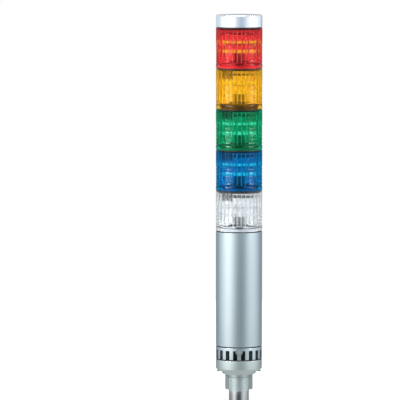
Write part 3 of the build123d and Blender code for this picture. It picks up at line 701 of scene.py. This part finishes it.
# Lenses: banded outside, prism ribs inside, the bayonet groove in the skirt
lensSizes = dict(bands=6, bandStart=2.4, bandPitch=3.1, bandDepth=0.35, bandSteps=14, skirt=5.2, ribTop=32.7,
                 ribs=32, ribSteps=16, ribDepth=0.8, ribFullness=5.0, easeRib=0.02)
fullHeight = inMm(lensHeight)
bandWave = []
for step in range(lensSizes["bands"] * lensSizes["bandSteps"] + 1):
    turns = step / lensSizes["bandSteps"]
    bandWave.append((shellRadius - lensSizes["bandDepth"] * math.sin(math.pi * turns) ** 2,
                     lensSizes["bandStart"] + turns * lensSizes["bandPitch"]))
lensProfile = roundedProfile([
    (shellRadius, 0, edge["shell"]),
    *bandWave,
    (shellRadius, fullHeight, edge["shell"]),
    (bore["shell"], fullHeight),
    (bore["shell"], lensSizes["ribTop"]),
    (bore["shell"], lensSizes["ribTop"] - lensSizes["easeRib"], 0, 1),
    (bore["shell"], lensSizes["skirt"] + lensSizes["easeRib"], 0, 1),
    (bore["skirt"], lensSizes["skirt"]),
    (bore["skirt"], bore["grooveTo"]),
    (bore["groove"], bore["grooveTo"]),
    (bore["groove"], bore["grooveFrom"]),
    (bore["skirt"], bore["grooveFrom"]),
    (bore["skirt"], 0)])
lensShell = turnedPiece("lensShell", lensProfile, materials["clearLens"],
                        steps=lensSizes["ribSteps"] * lensSizes["ribs"],
                        ribs=(lensSizes["ribs"], lensSizes["ribDepth"], lensSizes["ribFullness"]))
for tier in tiers:
    lens = moved(lensShell, "lensShell_" + tier, lensBottom[tier])
    coat(lens, materials[tier + "Lens"])
    fitPiece(lens, tier + "_tier", tier + "_lens", "lens_" + tier)
bpy.data.meshes.remove(lensShell.data)
print("lenses made:", len(tiers))

# Lamp rows: sixteen eased lamps in each, standing on the faces of the CAD column, each with a raised window
lampSizes = dict(sides=16, corner=13.0, rows=(14.428, 22.456), ease=0.2, easeShare=0.4)
lampSizes["body"] = dict(width=4.0, height=2.8, start=0.0, end=0.66)
lampSizes["window"] = dict(width=3.9, height=2.2, start=0.6, end=0.8)
apothem = lampSizes["corner"] * math.cos(math.pi / lampSizes["sides"])  # from the axis to a side


def makeLampRow(name, row, width, height, start, end):
    signs = [(-1, -1), (1, -1), (1, 1), (-1, 1)]
    outline = [(across * width / 2, row + up * height / 2) for across, up in signs]
    ease = min(lampSizes["ease"], (end - start) * lampSizes["easeShare"])
    block = pushedOutline(name, outline, apothem + start, apothem + end, sideFace, ease)
    ring = runTree(newObject(name), ringArray, piece=block, count=lampSizes["sides"], firstAngle=0.0,
                   finish=materials["whiteMoulding"])
    bpy.data.meshes.remove(block.data)
    return settle(ring)


for number, row in enumerate(lampSizes["rows"]):
    bodies = makeLampRow("lampBodies", row, **lampSizes["body"])
    windows = makeLampRow("lampWindows", row, **lampSizes["window"])
    for tier in tiers:
        rowBodies = moved(bodies, "lampBodies%d_%s" % (number, tier), lensBottom[tier])
        coat(rowBodies, materials["whiteMoulding"])
        fitPiece(rowBodies, tier + "_tier", "white_moulding", "leds_" + tier)
        # the windows carry the painted glow that stands in for the lamps' highlights
        rowWindows = moved(windows, "lampWindows%d_%s" % (number, tier), lensBottom[tier])
        coat(rowWindows, materials[tier + "Lamp"])
        fitPiece(rowWindows, tier + "_tier", "lamp", "leds_" + tier)
    bpy.data.meshes.remove(bodies.data)
    bpy.data.meshes.remove(windows.data)

# A thin lid closes each column's top
lidSizes = dict(reach=12.2, top=28.65, thick=0.5, ease=0.15)
halfSide = math.pi / lampSizes["sides"]
lidOutline = circlePoints(lidSizes["reach"] / math.cos(halfSide), lampSizes["sides"], first=halfSide)
columnLid = pushedOutline("columnLid", lidOutline, lidSizes["top"] - lidSizes["thick"], lidSizes["top"],
                          levelFace, lidSizes["ease"])
settle(columnLid)
for tier in tiers:
    lid = coat(moved(columnLid, "columnLid_" + tier, lensBottom[tier]), materials["whiteMoulding"])
    fitPiece(lid, tier + "_tier", "white_moulding")
bpy.data.meshes.remove(columnLid.data)
print("lamp rows and lids made:", len(tiers))

# Carried-over CAD nodes
nodeFinish = {
    "hub": "castSilver", "hub_nut": "fastenerSteel", "cable_grommet": "blackRubber",
    "locating_pegs": "blackMoulding", "case_screws": "fastenerSteel", "cup_seal": "blackRubber",
    "volume_dial": "castSilver", "volume_trimmer": "componentPlastic", "sounder_board": "circuitBoard",
    "sounder": "componentPlastic", "lower_bulkhead": "blackMoulding", "tie_rods": "fastenerSteel",
    "main_board": "circuitBoard", "board_capacitors": "componentPlastic", "board_chips": "componentPlastic",
    "terminal_block": "componentPlastic", "tier_plug": "componentPlastic", "riser_pins": "contactMetal"}
for tier in tiers:
    nodeFinish["contact_disc_" + tier] = "circuitBoard"
    nodeFinish["socket_pins_" + tier] = "darkSpring"
    nodeFinish["led_carrier_" + tier] = "whiteMoulding"
    nodeFinish["spring_contacts_" + tier] = "darkSpring"
for name, finish in nodeFinish.items():
    mesh = nodes[name].data
    mesh.materials.clear()
    mesh.materials.append(materials[finish])
print("nodes dressed:", len(nodeFinish))

# Studio: white to the camera and through the lenses, softer in reflections and on the object
studio = dict(worldLevel=0.42, glossLevel=0.72, aimLevel=0.19)
world = bpy.data.worlds.new("studioWorld")
bpy.context.scene.world = world
world.use_nodes = True
air = world.node_tree
air.nodes.clear()
airPath = addNode(air, "ShaderNodeLightPath", (-600, 200)).outputs
seen = mathNode(air, "MAXIMUM", (-400, 200), airPath["Is Camera Ray"], airPath["Is Transmission Ray"])
soft = mathNode(air, "MULTIPLY_ADD", (-400, 0), airPath["Is Glossy Ray"],
                studio["glossLevel"] - studio["worldLevel"], studio["worldLevel"])
level = mathNode(air, "MAXIMUM", (-200, 100), seen, soft)
sky = addNode(air, "ShaderNodeBackground", (0, 100))
sky.inputs["Color"].default_value = (1, 1, 1, 1)
wire(air, level, sky.inputs["Strength"])
airOut = addNode(air, "ShaderNodeOutputWorld", (200, 100))
wire(air, sky.outputs[0], airOut.inputs["Surface"])

# Pale floor. Away from the object its glow lifts it to white, and near the object its shadow stays.
floorSizes = dict(span=0.9, steps=96, tone=0.82, mottle=6, darkest=0.98, glow=0.60, glowFrom=0.06,
                  glowTo=0.42)
floorMaterial, floorTree, floorOut = newMaterial("paleFloor")
floorBody = addNode(floorTree, "ShaderNodeBsdfPrincipled", (400, 0))
floorPale = (floorSizes["tone"],) * 3
floorDim = (floorSizes["tone"] * floorSizes["darkest"],) * 3
floorColour = mixColours(floorTree, objectNoise(floorTree, floorSizes["mottle"], 3.0), floorDim, floorPale)
wire(floorTree, floorColour, floorBody.inputs["Base Color"])
floorBody.inputs["Roughness"].default_value = 0.9
floorBody.inputs["Specular IOR Level"].default_value = 0.1
floorPath = addNode(floorTree, "ShaderNodeLightPath", (0, -300)).outputs
floorSpot = addNode(floorTree, "ShaderNodeTexCoord", (-600, -500)).outputs["Object"]
floorReach = addNode(floorTree, "ShaderNodeVectorMath", (-400, -500), operation="LENGTH")
wire(floorTree, floorSpot, floorReach.inputs[0])
floorRise = addNode(floorTree, "ShaderNodeMapRange", (-200, -500), interpolation_type="SMOOTHSTEP")
wire(floorTree, floorReach.outputs["Value"], floorRise.inputs["Value"])
floorRise.inputs["From Min"].default_value = floorSizes["glowFrom"]
floorRise.inputs["From Max"].default_value = floorSizes["glowTo"]
floorRise.inputs["To Max"].default_value = floorSizes["glow"]
floorGlow = mathNode(floorTree, "MULTIPLY", (200, -300), floorPath["Is Camera Ray"],
                     floorRise.outputs["Result"])
floorBody.inputs["Emission Color"].default_value = (1, 1, 1, 1)
wire(floorTree, floorGlow, floorBody.inputs["Emission Strength"])
wire(floorTree, floorBody.outputs[0], floorOut.inputs["Surface"])
floorMesh = bpy.data.meshes.new("studioFloor")
floorRound = circlePoints(floorSizes["span"], floorSizes["steps"])
floorMesh.from_pydata([(x, y, 0) for x, y in floorRound], [], [list(range(floorSizes["steps"]))])
floor = newObject("studioFloor", floorMesh)
floorMesh.materials.append(floorMaterial)
floor.visible_glossy = False

# A wall bent round the axis, seen only in reflections. Stops are (degrees from the front towards +X, tone).
wallSizes = dict(radius=0.5, foot=-0.15, top=0.42, steps=96)
wallStops = {
    "foot": [
        (-180, (0.30, 0.31, 0.32)), (-120, (0.34, 0.35, 0.36)), (-96, (0.42, 0.43, 0.44)),
        (-54, (1.05, 1.10, 1.12)), (-34, (0.58, 0.60, 0.62)), (-19, (0.12, 0.14, 0.15)),
        (0, (0.09, 0.10, 0.11)), (17, (0.14, 0.16, 0.17)), (36, (0.50, 0.53, 0.55)),
        (52, (0.80, 0.84, 0.86)), (93, (0.62, 0.66, 0.68)), (120, (0.34, 0.35, 0.36)),
        (180, (0.30, 0.31, 0.32))],
    "middle": [
        (-180, (0.26, 0.30, 0.34)), (-150, (0.28, 0.33, 0.38)), (-125, (0.32, 0.38, 0.43)),
        (-100, (0.75, 0.82, 0.88)), (-80, (1.15, 1.20, 1.22)), (-58, (1.55, 1.55, 1.50)),
        (-40, (1.35, 1.34, 1.32)), (-24, (0.75, 0.80, 0.82)), (-8, (0.34, 0.39, 0.41)),
        (9, (0.24, 0.28, 0.31)), (24, (0.32, 0.37, 0.39)), (42, (0.78, 0.84, 0.86)),
        (60, (0.98, 1.02, 1.04)), (80, (0.94, 0.98, 0.98)), (100, (0.70, 0.75, 0.77)),
        (120, (0.34, 0.37, 0.42)), (150, (0.28, 0.33, 0.38)), (180, (0.26, 0.30, 0.34))],
    "head": [
        (-180, (0.50, 0.55, 0.60)), (-148, (0.62, 0.72, 0.78)), (-112, (0.73, 0.80, 0.84)),
        (-92, (1.12, 1.14, 1.15)), (-24, (1.20, 1.20, 1.20)), (-8, (0.66, 0.72, 0.76)),
        (9, (0.42, 0.52, 0.66)), (23, (0.54, 0.62, 0.72)), (40, (0.92, 0.98, 1.02)),
        (56, (1.18, 1.18, 1.20)), (95, (1.16, 1.17, 1.20)), (118, (0.86, 0.93, 1.00)),
        (150, (0.45, 0.48, 0.52)), (180, (0.45, 0.48, 0.52))],
}
wallBlend = [("middle", -0.055, -0.035), ("head", 0.20, 0.29)]  # the levels where a zone takes over
wallMaterial, wallTree, wallOut = newMaterial("softWall")
wallPlace = addNode(wallTree, "ShaderNodeSeparateXYZ", (-1200, 0))
wire(wallTree, addNode(wallTree, "ShaderNodeTexCoord", (-1400, 0)).outputs["Object"], wallPlace.inputs[0])
wallFront = mathNode(wallTree, "MULTIPLY", (-1000, -200), wallPlace.outputs["Y"], -1)
wallAngle = mathNode(wallTree, "ARCTAN2", (-800, 0), wallPlace.outputs["X"], wallFront)
wallShare = mathNode(wallTree, "MULTIPLY_ADD", (-600, 0), wallAngle, 1 / (2 * math.pi), 0.5)
wallLevel = 2.0  # a ramp holds tones up to 1, so they are halved there and doubled in the glow
wallTones = {}
for number, (zone, stops) in enumerate(wallStops.items()):
    ramp = addNode(wallTree, "ShaderNodeValToRGB", (-400, -250 * number))
    ramp.color_ramp.interpolation = "EASE"
    marks = ramp.color_ramp.elements
    marks[0].color = (*(value / wallLevel for value in stops[0][1]), 1)
    marks[1].color = (*(value / wallLevel for value in stops[-1][1]), 1)
    for degrees, tone in stops[1:-1]:
        marks.new((degrees + 180) / 360).color = (*(value / wallLevel for value in tone), 1)
    wire(wallTree, wallShare, ramp.inputs["Fac"])
    wallTones[zone] = ramp.outputs["Color"]
wallTone = wallTones["foot"]
for zone, start, end in wallBlend:
    rise = addNode(wallTree, "ShaderNodeMapRange", (-100, 300), interpolation_type="SMOOTHSTEP")
    wire(wallTree, wallPlace.outputs["Z"], rise.inputs["Value"])
    rise.inputs["From Min"].default_value = start
    rise.inputs["From Max"].default_value = end
    mix = addNode(wallTree, "ShaderNodeMix", (100, 0), data_type="RGBA")
    wire(wallTree, rise.outputs["Result"], mix.inputs[0])
    wire(wallTree, wallTone, mix.inputs[6])
    wire(wallTree, wallTones[zone], mix.inputs[7])
    wallTone = mix.outputs[2]
wallGlow = addNode(wallTree, "ShaderNodeEmission", (400, 0))
wire(wallTree, wallTone, wallGlow.inputs["Color"])
wallGlow.inputs["Strength"].default_value = wallLevel
wire(wallTree, wallGlow.outputs[0], wallOut.inputs["Surface"])
wallPoints = []
for x, y in circlePoints(wallSizes["radius"], wallSizes["steps"]):
    wallPoints += [(x, y, wallSizes["foot"]), (x, y, wallSizes["top"])]
wallFaces = []
for step in range(wallSizes["steps"]):
    here = 2 * step
    after = 2 * ((step + 1) % wallSizes["steps"])
    wallFaces.append((here, here + 1, after + 1, after))
wallMesh = bpy.data.meshes.new("softWall")
wallMesh.from_pydata(wallPoints, [], wallFaces)
wallMesh.materials.append(wallMaterial)
wallMaterial.cycles.emission_sampling = "NONE"  # it lights nothing by itself
wall = newObject("softWall", wallMesh)
wall.visible_camera = False
wall.visible_diffuse = False
wall.visible_shadow = False
wall.visible_transmission = False

softBoxes = [
    dict(name="leftBox", angle=-57, distance=1.2, height=0.80, width=0.72, tall=0.09, watts=14.0),
    dict(name="rightBox", angle=69, distance=1.2, height=0.80, width=0.66, tall=0.09, watts=11.0),
    dict(name="topBox", angle=0, distance=0.25, height=1.3, width=0.8, tall=0.8, watts=5.0),
]
for box in softBoxes:
    data = bpy.data.lights.new(box["name"], "AREA")
    data.shape = "RECTANGLE"
    data.size = box["width"]
    data.size_y = box["tall"]
    data.energy = box["watts"]
    light = bpy.data.objects.new(box["name"], data)
    bpy.context.scene.collection.objects.link(light)
    angle = math.radians(box["angle"])
    light.location = (box["distance"] * math.sin(angle), -box["distance"] * math.cos(angle), box["height"])
    aim = Vector((0, 0, studio["aimLevel"])) - light.location
    light.rotation_euler = aim.to_track_quat("-Z", "Y").to_euler()
    light.visible_camera = False

# Camera: a long lens a little above the column's middle
shot = dict(distance=3.25, pitch=4.9, side=-0.0337, level=0.1887, lens=339.0, sensor=36.0, clipEnd=50.0)
cameraData = bpy.data.cameras.new("shotCamera")
cameraData.lens = shot["lens"]
cameraData.sensor_width = shot["sensor"]
cameraData.clip_end = shot["clipEnd"]
camera = bpy.data.objects.new("shotCamera", cameraData)
bpy.context.scene.collection.objects.link(camera)
pitch = math.radians(shot["pitch"])
back = shot["distance"] * math.cos(pitch)
rise = shot["distance"] * math.sin(pitch)
camera.location = (shot["side"], -back, shot["level"] + rise)
camera.rotation_euler = (math.pi / 2 - pitch, 0, 0)
bpy.context.scene.camera = camera
bpy.context.scene.view_settings.view_transform = "Standard"
print("studio and camera set")
